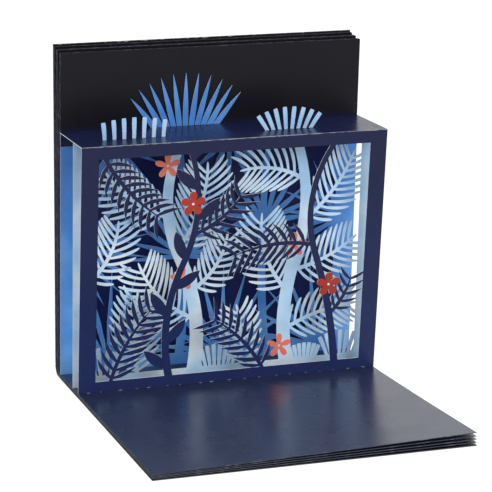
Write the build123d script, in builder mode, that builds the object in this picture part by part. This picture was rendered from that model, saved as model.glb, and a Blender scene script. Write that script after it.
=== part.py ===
from build123d import *
from math import atan2, cos, degrees, pi, radians, sin, tan
import os

os.makedirs("parts", exist_ok=True)

# Pop-up book, opened near a right angle at one spread. Millimetres and degrees.
# Origin: centre of the underside of the cover that lies on the table.
# +X runs along the spine, -Y points to the reader, +Z is up.

# Book format
spine_length = 180.0
leaf_length = 192.0
leaf_thickness = 0.42
lower_leaf_count = 4
cover_length = 191.0
cover_thickness = 0.6
cover_clearance = 0.3
fold_gap = 0.4
gutter_setback = 1.0
spine_depth = 11.6
spine_radius = 6.0
page_lean = 4.4
cover_lean = 2.7

# Fan of the lower leaves: how far the top leaf lifts at the two front corners
fan_start = 47.0
fan_rise_left = 0.7
fan_rise_right = 5.0
fan_shares = (0.15, 0.41, 0.71, 1.0)

# Closed spreads of the upright half, as shares of their depth at the fore-edge
closed_spread_shares = ((0.0, 0.2), (0.42, 0.63), (0.82, 1.0))
notch_height_shares = (0.86, 0.66)
notch_depth_shares = (0.3, 0.72)

# Pop-up box: one folded, die-cut card that spans the open spread. Its top is deeper than
# its foot, so its front leans a little further over the lying page than the upright page
card = 0.4
box_top_depth = 48.0
box_foot_depth = 42.0
box_height = 146.0
front_side_border = 10.0
front_top_border = 7.5
front_bottom_border = 6.5
flap_height = 8.0
foot_tab = 7.0
tab_taper = 4.0
slot_clearance = 0.3

# Scene layers inside the box
middle_depth = 29.5
middle_side_border = 8.0
middle_top_border = 6.5
middle_bottom_border = 6.0
rear_standoff = 0.5
rear_side_border = 12.0
rear_top_border = 6.0
rear_bottom_border = 7.0
layer_clearance = 0.3

# Cut-paper foliage
front_trunk_width = 4.8
middle_trunk_width = 8.6
rear_trunk_width = 5.4
trunk_taper_share = 0.6
midrib_width = 2.2
leaflet_root_width = 1.2
leaf_length_on_trunk = 18.0
leaf_width = 6.4
fan_blade_width = 3.2
petal_length = 6.4
petal_width = 4.4
petal_root_width = 1.8
petal_count = 5
flower_offset = 3.0
front_leaflet_pitch = 5.2
middle_leaflet_pitch = 6.2
leaflet_cuts = 3
leaflet_sweep = 50.0
leaflet_bulge_share = 0.12
petal_belly_share = 0.62
blade_bend = 16.0
belly_share = 0.45
blade_root_share = 0.55

# Trunks: x share of the spine's length from the middle, y share of the box's height,
# heading, then for each stretch its length as a share of the box's height and its bend
front_trunk_shares = (
    (-0.200, 0.020, 104, ((0.50, -38), (0.54, 50))),
    (0.360, 0.020, 95, ((0.50, 14), (0.54, -60))),
)
middle_trunk_shares = (
    (-0.100, 0.020, 80, ((0.50, 35), (0.52, -55))),
    (0.220, 0.020, 102, ((0.45, -30), (0.60, 45))),
)
rear_trunk_shares = (
    (-0.100, 0.020, 84, ((0.96, 14),)),
    (0.200, 0.020, 96, ((0.96, -12),)),
)

# Fronds on a trunk: trunk, share of the way up, turn from the trunk, length share,
# bend and leaflet length share
front_branch_shares = (
    (1, 0.52, 62, 0.36, 38, 0.110),
    (1, 0.22, -58, 0.20, 40, 0.080),
    (0, 0.60, -60, 0.27, 45, 0.100),
)
middle_branch_shares = (
    (0, 0.22, 62, 0.34, -46, 0.130),
    (0, 0.34, -74, 0.27, 52, 0.100),
    (0, 0.52, -62, 0.36, 40, 0.130),
    (0, 0.66, 66, 0.32, -40, 0.120),
    (1, 0.30, 52, 0.34, -46, 0.130),
    (1, 0.58, -46, 0.34, 30, 0.120),
    (1, 0.14, -62, 0.31, -26, 0.110),
    (1, 0.38, -66, 0.29, 30, 0.110),
    (1, 0.74, 48, 0.27, 46, 0.120),
)

# Fronds on the frame: x share, y share, heading, length share, bend and leaflet length share
front_frame_frond_shares = (
    (-0.430, 0.965, -62, 0.37, 28, 0.110),
    (-0.400, 0.020, 76, 0.38, -30, 0.120),
    (0.120, 0.020, 116, 0.36, 34, 0.110),
)
middle_frame_frond_shares = (
    (-0.285, 0.020, 98, 0.34, -14, 0.120),
    (-0.460, 0.420, 36, 0.28, 50, 0.110),
    (0.060, 0.020, 84, 0.26, 20, 0.100),
)
front_leaf_shares = (0.06, 0.16, 0.27, 0.38, 0.50, 0.66, 0.78, 0.90)

# Flowers on a trunk: trunk, share of the way up and side
front_flower_shares = ((0, 0.72, 1), (1, 0.34, -1))
middle_flower_shares = ((0, 0.40, 1), (1, 0.48, 1), (0, 0.86, 1), (1, 0.08, 1))

# Fans: x share, y share, heading, spread, blades and length share
rear_fan_shares = (
    (-0.340, 0.030, 88, 156, 11, 0.40),
    (0.050, 0.030, 90, 156, 11, 0.38),
    (0.380, 0.030, 96, 136, 9, 0.38),
    (-0.460, 0.520, 8, 140, 9, 0.32),
    (0.460, 0.580, 172, 140, 9, 0.30),
    (-0.090, 0.460, 86, 190, 11, 0.29),
    (0.190, 0.580, 94, 180, 11, 0.26),
    (-0.330, 0.940, -94, 140, 7, 0.26),
    (0.060, 0.940, -90, 150, 7, 0.22),
)

# Tufts that stand through the slots of the top panel: x share, height, heading
# spread, blades and the width of their root
reed_tuft_share = -0.305
reed_height = 12.0
reed_count = 7
reed_row = 34.0
spray_tuft_share = 0.205
spray_height = 13.0
spray_count = 8
spray_row = 22.0
spray_spread = 56.0
crest_share = -0.090
crest_height = 31.0
crest_count = 11
crest_row = 22.0
crest_spread = 66.0

# Places that follow from the sizes above
gutter_y = cover_length / 2 + gutter_setback
leaf_floor = cover_thickness + cover_clearance
page_z = leaf_floor + lower_leaf_count * leaf_thickness
fore_edge_y = gutter_y - leaf_length
fan_start_y = gutter_y - fan_start
fold_y = gutter_y - gutter_setback
back_y = gutter_y + spine_depth
arc_y = back_y - spine_radius
inner_radius = spine_radius - cover_thickness
block_radius = inner_radius - cover_clearance
box_top_z = page_z + box_height * cos(radians(page_lean))
box_top_y = gutter_y - box_height * sin(radians(page_lean))
page_top_z = page_z + leaf_length * cos(radians(page_lean))
front_foot_y = gutter_y - box_foot_depth
front_top_y = box_top_y - box_top_depth
front_lean = degrees(atan2(front_foot_y - front_top_y, box_top_z - page_z))
front_height = (box_top_z - page_z) / cos(radians(front_lean))
rear_depth = (rear_standoff + card) / cos(radians(page_lean))
flap_depth = card / cos(radians(page_lean))
slot_width = card + 2 * slot_clearance
middle_top = box_height - card - layer_clearance
middle_tuft_rise = box_height - middle_top + middle_top_border / 2
rear_top = box_height - flap_height - layer_clearance
rear_tuft_rise = box_height - rear_top + rear_top_border / 2


def standing_plane(depth, lean):
    """Plane of a sheet that stands on the lying page and leans over it, facing the reader."""
    normal = (0, -cos(radians(lean)), -sin(radians(lean)))
    return Plane(origin=(0, gutter_y - depth, page_z), x_dir=(1, 0, 0), z_dir=normal)


def sheet_point(x_share, y_share):
    """Point on a standing sheet from its shares of the spine's length and the box's height."""
    return (x_share * spine_length, y_share * box_height)


def bow_point(start, heading, length, bend, share):
    """Point at a share of the way along an arc that turns by bend over its length."""
    half_turn = radians(bend) * share / 2
    chord = length * share * (sin(half_turn) / half_turn if half_turn else 1)
    direction = radians(heading) + half_turn
    return (start[0] + chord * cos(direction), start[1] + chord * sin(direction))


def beside(point, heading, distance):
    """Point at a distance to the left of a heading."""
    side = radians(heading + 90)
    return (point[0] + distance * cos(side), point[1] + distance * sin(side))


def blade(start, heading, length, bend, root, belly):
    """Outline of a curved blade with a cut root, a belly and a pointed tip, from two arcs."""
    middle = bow_point(start, heading, length, bend, belly_share)
    tip = bow_point(start, heading, length, bend, 1)
    turned = heading + bend * belly_share
    with BuildSketch(mode=Mode.PRIVATE) as outline:
        with BuildLine():
            ThreePointArc(beside(start, heading, root / 2), beside(middle, turned, belly / 2), tip)
            ThreePointArc(tip, beside(middle, turned, -belly / 2), beside(start, heading, -root / 2))
            Line(beside(start, heading, -root / 2), beside(start, heading, root / 2))
        make_face()
    return outline.sketch


def straight_blade(start, heading, length, root, belly, share):
    """Outline of a straight blade that widens to its belly, a share of the way up, and runs out to a point."""
    middle = bow_point(start, heading, length, 0, share)
    tip = bow_point(start, heading, length, 0, 1)
    with BuildSketch(mode=Mode.PRIVATE) as outline:
        with BuildLine():
            Polyline(beside(start, heading, root / 2), beside(middle, heading, belly / 2), tip,
                     beside(middle, heading, -belly / 2), beside(start, heading, -root / 2), close=True)
        make_face()
    return outline.sketch


def leaflet(start, heading, side, length):
    """Outline of a sickle-shaped leaflet: an outer edge bowed in straight cuts and a straight inner edge."""
    outer = []
    for cut in range(leaflet_cuts):
        share = cut / leaflet_cuts
        bulge = 4 * share * (1 - share) * leaflet_bulge_share * length
        half = leaflet_root_width / 2 * (1 - share)
        outer.append(beside(bow_point(start, heading, length, 0, share), heading, side * (half + bulge)))
    tip = bow_point(start, heading, length, 0, 1)
    root = beside(start, heading, -side * leaflet_root_width / 2)
    with BuildSketch(mode=Mode.PRIVATE) as outline:
        with BuildLine():
            Polyline(*outer, tip, root, close=True)
        make_face()
    return outline.sketch


def trunk_place(row, share):
    """Point and heading at a share of the way up a trunk."""
    x_share, y_share, heading, stretches = row
    point = sheet_point(x_share, y_share)
    left = share * sum(length_share for length_share, bend in stretches)
    for length_share, bend in stretches:
        part_way = min(left / length_share, 1)
        point = bow_point(point, heading, length_share * box_height, bend, part_way)
        heading = heading + bend * part_way
        left = left - length_share * part_way
    return point, heading


def trunk(row, root_width):
    """A trunk's bands, one for each stretch, that narrow towards the top."""
    x_share, y_share, heading, stretches = row
    start = sheet_point(x_share, y_share)
    near = root_width / 2
    narrowing = near * (1 - trunk_taper_share) / sum(length_share for length_share, bend in stretches)
    outlines = []
    for length_share, bend in stretches:
        middle = bow_point(start, heading, length_share * box_height, bend, 1 / 2)
        tip = bow_point(start, heading, length_share * box_height, bend, 1)
        turned = heading + bend / 2
        last = heading + bend
        far = near - narrowing * length_share
        mean = (near + far) / 2
        with BuildSketch(mode=Mode.PRIVATE) as outline:
            with BuildLine():
                ThreePointArc(beside(start, heading, near), beside(middle, turned, mean),
                              beside(tip, last, far))
                Line(beside(tip, last, far), beside(tip, last, -far))
                ThreePointArc(beside(tip, last, -far), beside(middle, turned, -mean),
                              beside(start, heading, -near))
                Line(beside(start, heading, -near), beside(start, heading, near))
            make_face()
        outlines.append(outline.sketch)
        start = tip
        heading = last
        near = far
    return outlines


def frond(start, heading, length_share, bend, leaflet_share, pitch):
    """A fern frond: a bowed midrib with a row of leaflets on each side."""
    length = length_share * box_height
    steps = round(length / pitch)
    outlines = [blade(start, heading, length, bend, midrib_width, midrib_width)]
    for index in range(steps - 1):
        share = (index + 1) / steps
        point = bow_point(start, heading, length, bend, share)
        along = heading + bend * share
        size = leaflet_share * box_height * sin(pi * (share + 1) / 3)
        for side in (-1, 1):
            outlines.append(leaflet(point, along + side * leaflet_sweep, side, size))
    return outlines


def branches(trunks, rows, pitch):
    """Fronds that leave the trunks of one layer."""
    outlines = []
    for index, share, turn, length_share, bend, leaflet_share in rows:
        point, heading = trunk_place(trunks[index], share)
        outlines.extend(frond(point, heading + turn, length_share, bend, leaflet_share, pitch))
    return outlines


def frame_fronds(rows, pitch):
    """Fronds that grow from the frame of one layer."""
    outlines = []
    for x_share, y_share, heading, length_share, bend, leaflet_share in rows:
        outlines.extend(frond(sheet_point(x_share, y_share), heading, length_share, bend,
                              leaflet_share, pitch))
    return outlines


def trunk_leaves(row):
    """Almond leaves that stand by turns on the two sides of a trunk."""
    side = 1
    outlines = []
    for share in front_leaf_shares:
        point, along = trunk_place(row, share)
        outlines.append(blade(point, along + side * leaflet_sweep, leaf_length_on_trunk,
                              -side * blade_bend, midrib_width, leaf_width))
        side = -side
    return outlines


def fan(start, heading, spread, count, length, belly):
    """Straight blades that radiate from one point, longest in the middle."""
    outlines = []
    for index in range(count):
        offset = index / (count - 1) - 1 / 2
        size = length * cos(offset * pi / 3)
        outlines.append(straight_blade(start, heading + offset * spread, size,
                                       blade_root_share * belly, belly, belly_share))
    return outlines


def flowers(trunks, rows):
    """Flower heads of pointed petals, each at the side of a trunk."""
    outlines = []
    for index, share, side in rows:
        point, heading = trunk_place(trunks[index], share)
        centre = beside(point, heading, side * flower_offset)
        for petal in range(petal_count):
            outlines.append(straight_blade(centre, 90 + petal * 360 / petal_count, petal_length,
                                           petal_root_width, petal_width, petal_belly_share))
    return outlines


def frame_of_sheet(width, low, high, side_border, bottom_border, top_border):
    """A sheet's rectangle with its window cut out, in the sheet's own plane."""
    middle = (low + high) / 2
    window_middle = (low + bottom_border + high - top_border) / 2
    with BuildSketch(mode=Mode.PRIVATE) as outline:
        with Locations((0, middle)):
            Rectangle(width, high - low)
        with Locations((0, window_middle)):
            Rectangle(width - 2 * side_border, high - low - bottom_border - top_border, mode=Mode.SUBTRACT)
    return outline.sketch


def standing_row(centre_share, foot, height, row_width, count, spread, belly):
    """Blades that stand side by side in a row, fanned by spread over the row."""
    outlines = []
    for index in range(count):
        offset = index / (count - 1) - 1 / 2
        start = (centre_share * spine_length + offset * row_width, foot)
        size = height * cos(offset * pi / 3)
        outlines.append(blade(start, 90 - offset * spread, size, -offset * blade_bend,
                              blade_root_share * belly, belly))
    return outlines


def tuft_slot(centre_share, row_width, spread, rise, depth, width):
    """Slot in the top panel for a tuft whose blades have fanned out over a rise."""
    lean = radians((spread + blade_bend) / 2)
    length = row_width + 2 * rise * tan(lean) + 2 * fan_blade_width
    with BuildSketch(mode=Mode.PRIVATE) as outline:
        with Locations((centre_share * spine_length, box_top_y - depth + card / 2)):
            Rectangle(length, width)
    return outline.sketch


def fore_edge_tops(rise):
    """Heights of the lower leaves' top faces at the fore-edge, lowest leaf first."""
    tops = []
    for index in range(lower_leaf_count):
        tops.append(leaf_floor + (index + 1) * leaf_thickness + fan_shares[index] * rise)
    return tops


def cover_line(distance, inset):
    """Point on the upright cover's plane, set in from its outer face."""
    lean = radians(cover_lean)
    return (back_y - distance * sin(lean) - inset * cos(lean),
            spine_radius + distance * cos(lean) - inset * sin(lean))


def block_outline(rise):
    """Points of the leaf block's section, from the gutter out round the fore-edges."""
    points = [(gutter_y, page_z), (fan_start_y, page_z)]
    tops = fore_edge_tops(rise)
    for index in reversed(range(lower_leaf_count)):
        points.append((fore_edge_y, tops[index]))
        points.append((fore_edge_y, tops[index] - leaf_thickness))
        points.append((fan_start_y, leaf_floor + index * leaf_thickness))
    points.append((arc_y, leaf_floor))
    return points


def block_back_outline():
    """Points of the upright half's section, from the spine up and forward to the page."""
    inset = cover_thickness + cover_clearance
    lean = radians(page_lean)
    rise_to_top = (page_top_z - spine_radius) / cos(radians(cover_lean))
    back_top_y = cover_line(rise_to_top, inset)[0]
    front_top_y = gutter_y - leaf_length * sin(lean)
    points = []
    for index in reversed(range(len(closed_spread_shares))):
        near, far = closed_spread_shares[index]
        points.append((front_top_y + far * (back_top_y - front_top_y), page_top_z))
        points.append((front_top_y + near * (back_top_y - front_top_y), page_top_z))
        if index:
            height = notch_height_shares[index - 1] * leaf_length * cos(lean)
            front_y = gutter_y - height * tan(lean)
            rear_y = cover_line(height / cos(radians(cover_lean)), inset)[0]
            depth = notch_depth_shares[index - 1] * (rear_y - front_y)
            points.append((front_y + depth, page_z + height))
    return points


# Cover that lies on the table
with BuildPart() as back_cover:
    with Locations((0, fold_y - fold_gap / 2 - cover_length / 2, 0)):
        Box(spine_length, cover_length - fold_gap, cover_thickness,
            align=(Align.CENTER, Align.CENTER, Align.MIN))
back_cover.part.label = "back_cover"
export_step(back_cover.part, "parts/back_cover.step")

# Spine of the cover: a flat strip under the leaves, bent up round the back
with BuildPart() as cover_spine:
    with BuildSketch(Plane.YZ.offset(-spine_length / 2)):
        with BuildLine():
            Line((fold_y + fold_gap / 2, 0), (arc_y, 0))
            CenterArc((arc_y, spine_radius), spine_radius, -90, 90)
            Line((back_y, spine_radius), (back_y - cover_thickness, spine_radius))
            CenterArc((arc_y, spine_radius), inner_radius, 0, -90)
            Line((arc_y, cover_thickness), (fold_y + fold_gap / 2, cover_thickness))
            Line((fold_y + fold_gap / 2, cover_thickness), (fold_y + fold_gap / 2, 0))
        make_face()
    extrude(amount=spine_length)
cover_spine.part.label = "cover_spine"
export_step(cover_spine.part, "parts/cover_spine.step")

# Cover that stands behind the upright leaves
with BuildPart() as front_cover:
    with BuildSketch(Plane.YZ.offset(-spine_length / 2)):
        with BuildLine():
            Polyline(cover_line(fold_gap, 0), cover_line(cover_length, 0),
                     cover_line(cover_length, cover_thickness), cover_line(fold_gap, cover_thickness),
                     close=True)
        make_face()
    extrude(amount=spine_length)
front_cover.part.label = "front_cover"
export_step(front_cover.part, "parts/front_cover.step")

# Leaf block: the open spread, the leaves under it and the closed spreads behind it
with BuildPart() as pages:
    for side, rise in ((-1, fan_rise_left), (1, fan_rise_right)):
        with BuildSketch(Plane.YZ.offset(side * spine_length / 2)):
            lower_points = block_outline(rise)
            upper_points = block_back_outline()
            block_back = (arc_y + block_radius, spine_radius)
            with BuildLine():
                Polyline(*lower_points)
                Line(lower_points[-1], (arc_y, spine_radius - block_radius))
                CenterArc((arc_y, spine_radius), block_radius, -90, 90)
                Polyline(block_back, *upper_points, lower_points[0])
            make_face()
    loft(ruled=True)
pages.part.label = "pages"
export_step(pages.part, "parts/pages.step")

# Box card: glue flap, top panel, cut-out front and foot tab, folded from one sheet
with BuildPart() as scene_box:
    with BuildSketch(standing_plane(box_foot_depth, front_lean)):
        for row in front_trunk_shares:
            add(trunk(row, front_trunk_width))
        add(trunk_leaves(front_trunk_shares[0]))
        add(branches(front_trunk_shares, front_branch_shares, front_leaflet_pitch))
        add(frame_fronds(front_frame_frond_shares, front_leaflet_pitch))
        add(flowers(front_trunk_shares, front_flower_shares))
        with Locations((0, front_height / 2)):
            Rectangle(spine_length, front_height, mode=Mode.INTERSECT)
        add(frame_of_sheet(spine_length, 0, front_height,
                           front_side_border, front_bottom_border, front_top_border))
    extrude(amount=-card)
    with BuildSketch(Plane.XY.offset(box_top_z)):
        with Locations((0, box_top_y - box_top_depth / 2)):
            Rectangle(spine_length, box_top_depth)
        add(tuft_slot(reed_tuft_share, reed_row, 0, middle_tuft_rise, middle_depth, slot_width),
            mode=Mode.SUBTRACT)
        add(tuft_slot(spray_tuft_share, spray_row, spray_spread, middle_tuft_rise, middle_depth, slot_width),
            mode=Mode.SUBTRACT)
        add(tuft_slot(crest_share, crest_row, crest_spread, rear_tuft_rise, rear_depth,
                      card + slot_clearance), mode=Mode.SUBTRACT)
    extrude(amount=-card)
    with BuildSketch(standing_plane(flap_depth, page_lean)):
        with Locations((0, box_height - flap_height / 2)):
            Rectangle(spine_length, flap_height)
    extrude(amount=-card)
    with BuildSketch(Plane.XY.offset(page_z)):
        with BuildLine():
            Polyline((-spine_length / 2, front_foot_y), (spine_length / 2, front_foot_y),
                     (spine_length / 2 - tab_taper, front_foot_y + foot_tab),
                     (-spine_length / 2 + tab_taper, front_foot_y + foot_tab), close=True)
        make_face()
    extrude(amount=card)
scene_box.part.label = "scene_box"
export_step(scene_box.part, "parts/scene_box.step")

# Middle layer: pale foliage in its own frame, with two tufts through the top panel
with BuildPart() as middle_layer:
    with BuildSketch(standing_plane(middle_depth, page_lean)):
        for row in middle_trunk_shares:
            add(trunk(row, middle_trunk_width))
        add(branches(middle_trunk_shares, middle_branch_shares, middle_leaflet_pitch))
        add(frame_fronds(middle_frame_frond_shares, middle_leaflet_pitch))
        add(flowers(middle_trunk_shares, middle_flower_shares))
        with Locations((0, middle_top / 2)):
            Rectangle(spine_length, middle_top, mode=Mode.INTERSECT)
        add(frame_of_sheet(spine_length, 0, middle_top,
                           middle_side_border, middle_bottom_border, middle_top_border))
        foot = middle_top - middle_top_border / 2
        add(standing_row(reed_tuft_share, foot, middle_tuft_rise + reed_height, reed_row, reed_count,
                         0, fan_blade_width))
        add(standing_row(spray_tuft_share, foot, middle_tuft_rise + spray_height, spray_row, spray_count,
                         spray_spread, fan_blade_width))
    extrude(amount=-card)
    with BuildSketch(Plane.XY.offset(page_z)):
        with BuildLine():
            foot_y = gutter_y - middle_depth
            Polyline((-spine_length / 2, foot_y), (spine_length / 2, foot_y),
                     (spine_length / 2 - tab_taper, foot_y + foot_tab),
                     (-spine_length / 2 + tab_taper, foot_y + foot_tab), close=True)
        make_face()
    extrude(amount=card)
middle_layer.part.label = "middle_layer"
export_step(middle_layer.part, "parts/middle_layer.step")

# Rear layer: blue fans just in front of the upright page, with a crest above the box
with BuildPart() as rear_layer:
    with BuildSketch(standing_plane(rear_depth, page_lean)):
        for row in rear_trunk_shares:
            add(trunk(row, rear_trunk_width))
        for x_share, y_share, heading, spread, count, length_share in rear_fan_shares:
            add(fan(sheet_point(x_share, y_share), heading, spread, count,
                    length_share * box_height, fan_blade_width))
        with Locations((0, rear_top / 2)):
            Rectangle(spine_length, rear_top, mode=Mode.INTERSECT)
        add(frame_of_sheet(spine_length, 0, rear_top,
                           rear_side_border, rear_bottom_border, rear_top_border))
        foot = rear_top - rear_top_border / 2
        add(standing_row(crest_share, foot, rear_tuft_rise + crest_height, crest_row, crest_count,
                         crest_spread, fan_blade_width))
    extrude(amount=-card)
rear_layer.part.label = "rear_layer"
export_step(rear_layer.part, "parts/rear_layer.step")
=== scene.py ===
"""Pop-up book, open near a right angle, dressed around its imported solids. Metres in the part's frame."""

import logging
from dataclasses import dataclass
from enum import Enum
from math import cos, pi, radians, sin, tan
from typing import Any

import bmesh
import bpy
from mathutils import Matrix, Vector


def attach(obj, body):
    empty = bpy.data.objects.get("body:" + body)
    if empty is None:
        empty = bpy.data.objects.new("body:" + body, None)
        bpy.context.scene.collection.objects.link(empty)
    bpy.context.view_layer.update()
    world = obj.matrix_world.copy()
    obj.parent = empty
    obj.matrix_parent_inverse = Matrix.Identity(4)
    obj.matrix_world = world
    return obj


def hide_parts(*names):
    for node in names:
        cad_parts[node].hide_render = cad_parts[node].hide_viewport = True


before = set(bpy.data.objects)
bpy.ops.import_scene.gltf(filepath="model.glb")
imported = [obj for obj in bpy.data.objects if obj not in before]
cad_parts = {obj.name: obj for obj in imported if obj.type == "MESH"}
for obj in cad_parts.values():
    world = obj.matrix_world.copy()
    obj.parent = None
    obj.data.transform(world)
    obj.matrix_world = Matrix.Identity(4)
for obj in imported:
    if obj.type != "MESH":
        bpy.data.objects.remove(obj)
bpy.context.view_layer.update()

MM = 0.001
LOG = logging.getLogger("pop_up_book")
BOOK = "page_block"
# Lean of the upright page, the box's front and the cover in degrees, and height of the lying page.
PAGE_LEAN = 4.4
FRONT_LEAN = 6.739
COVER_LEAN = 2.7
PAGE_FOOT = 2.58 * MM

MATH = "ShaderNodeMath"
VECTOR_MATH = "ShaderNodeVectorMath"
MAP_RANGE = "ShaderNodeMapRange"
MIX = "ShaderNodeMix"
NOISE = "ShaderNodeTexNoise"
SEPARATE = "ShaderNodeSeparateXYZ"
COMBINE = "ShaderNodeCombineXYZ"
STORE = "GeometryNodeStoreNamedAttribute"
RANDOM = "FunctionNodeRandomValue"
SOCKET_TYPES = {int: "NodeSocketInt", float: "NodeSocketFloat", tuple: "NodeSocketVector"}

Tree = bpy.types.NodeTree
Node = bpy.types.Node
Socket = bpy.types.NodeSocket
Point = tuple[float, float]


def to_linear(code: str) -> tuple[float, float, float, float]:
    """Turn an sRGB hex colour into linear red, green, blue and alpha.

    Args:
        code: Six hex digits after a hash.

    Returns:
        The linear colour with an alpha of one.
    """
    shares = [int(code[place:place + 2], 16) / 255 for place in (1, 3, 5)]
    linear = [share / 12.92 if share <= 0.04045 else ((share + 0.055) / 1.055) ** 2.4 for share in shares]
    return (linear[0], linear[1], linear[2], 1.0)


def add_node(tree: Tree, kind: str, inputs: dict[Any, Any] | list[Any] | tuple[Any, ...] = (),
             **settings: Any) -> Node:
    """Add a node with its settings, and set or link its inputs.

    Args:
        tree: The tree that gets the node.
        kind: The node's type.
        inputs: Values, sockets or nodes, which give their first output, in order or by name or number.
        settings: The node's own properties.

    Returns:
        The new node.
    """
    node = tree.nodes.new(kind)
    for name, value in settings.items():
        setattr(node, name, value)
    for place, value in inputs.items() if isinstance(inputs, dict) else enumerate(inputs):
        if isinstance(value, Node):
            value = value.outputs[0]
        if isinstance(value, Socket):
            tree.links.new(value, node.inputs[place])
        else:
            node.inputs[place].default_value = value
    return node


def patches(tree: Tree, spot: Socket | Node, size: float, detail: float, spread: Point = (0.3, 0.7),
            values: Point = (0.0, 1.0)) -> Node:
    """Add the nodes of an uneven surface, in patches that pass between two values.

    Args:
        tree: The material's tree.
        spot: Place in the pattern, in metres.
        size: Size of a patch in millimetres.
        detail: How many finer levels the patches have.
        spread: Levels of the pattern that get the two values.
        values: The two values.

    Returns:
        The node that gives the value.
    """
    pattern = add_node(tree, NOISE, {"Vector": spot, "Scale": 1 / (size * MM), "Detail": detail})
    return add_node(tree, MAP_RANGE, (pattern, *spread, *values))


def blank_material(name: str) -> bpy.types.Material:
    """Start a material with an empty tree.

    Args:
        name: The material's name.

    Returns:
        The material, whose node_tree is the tree.
    """
    made = bpy.data.materials.new(name)
    made.use_nodes = True
    made.node_tree.nodes.clear()
    return made


class Lay(Enum):
    """How a card lies, which tells its printed faces from its cut edges."""

    LYING = "lying"
    STANDING = "standing"
    FOLDED = "folded"
    BENT = "bent"
    LEAVES = "leaves"


@dataclass(frozen=True)
class Hearts:
    """Pale hearts of flower heads, centres as x and height on the sheet in millimetres."""

    centres: tuple[Point, ...]
    colour: str = "#CFE3F2"
    radius: float = 0.75

    def mask(self, tree: Tree, part: Node, lean: float) -> Node:
        """Add the nodes that find the hearts on a sheet.

        Args:
            tree: The material's tree.
            part: The node that gives the place's X and Z.
            lean: The sheet's lean in degrees.

        Returns:
            The node that gives the mask.
        """
        up = add_node(tree, MATH, (part.outputs["Z"], PAGE_FOOT), operation="SUBTRACT")
        tall = add_node(tree, MATH, (up, 1 / cos(radians(lean))), operation="MULTIPLY")
        sheet = add_node(tree, COMBINE, (part.outputs["X"], tall))
        nearest: Any = 1.0
        for x, height in self.centres:
            reach = add_node(tree, VECTOR_MATH, (sheet, (x * MM, height * MM, 0)), operation="DISTANCE")
            nearest = add_node(tree, MATH, (nearest, reach.outputs["Value"]), operation="MINIMUM")
        return add_node(tree, MATH, (nearest, self.radius * MM), operation="LESS_THAN")


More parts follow.
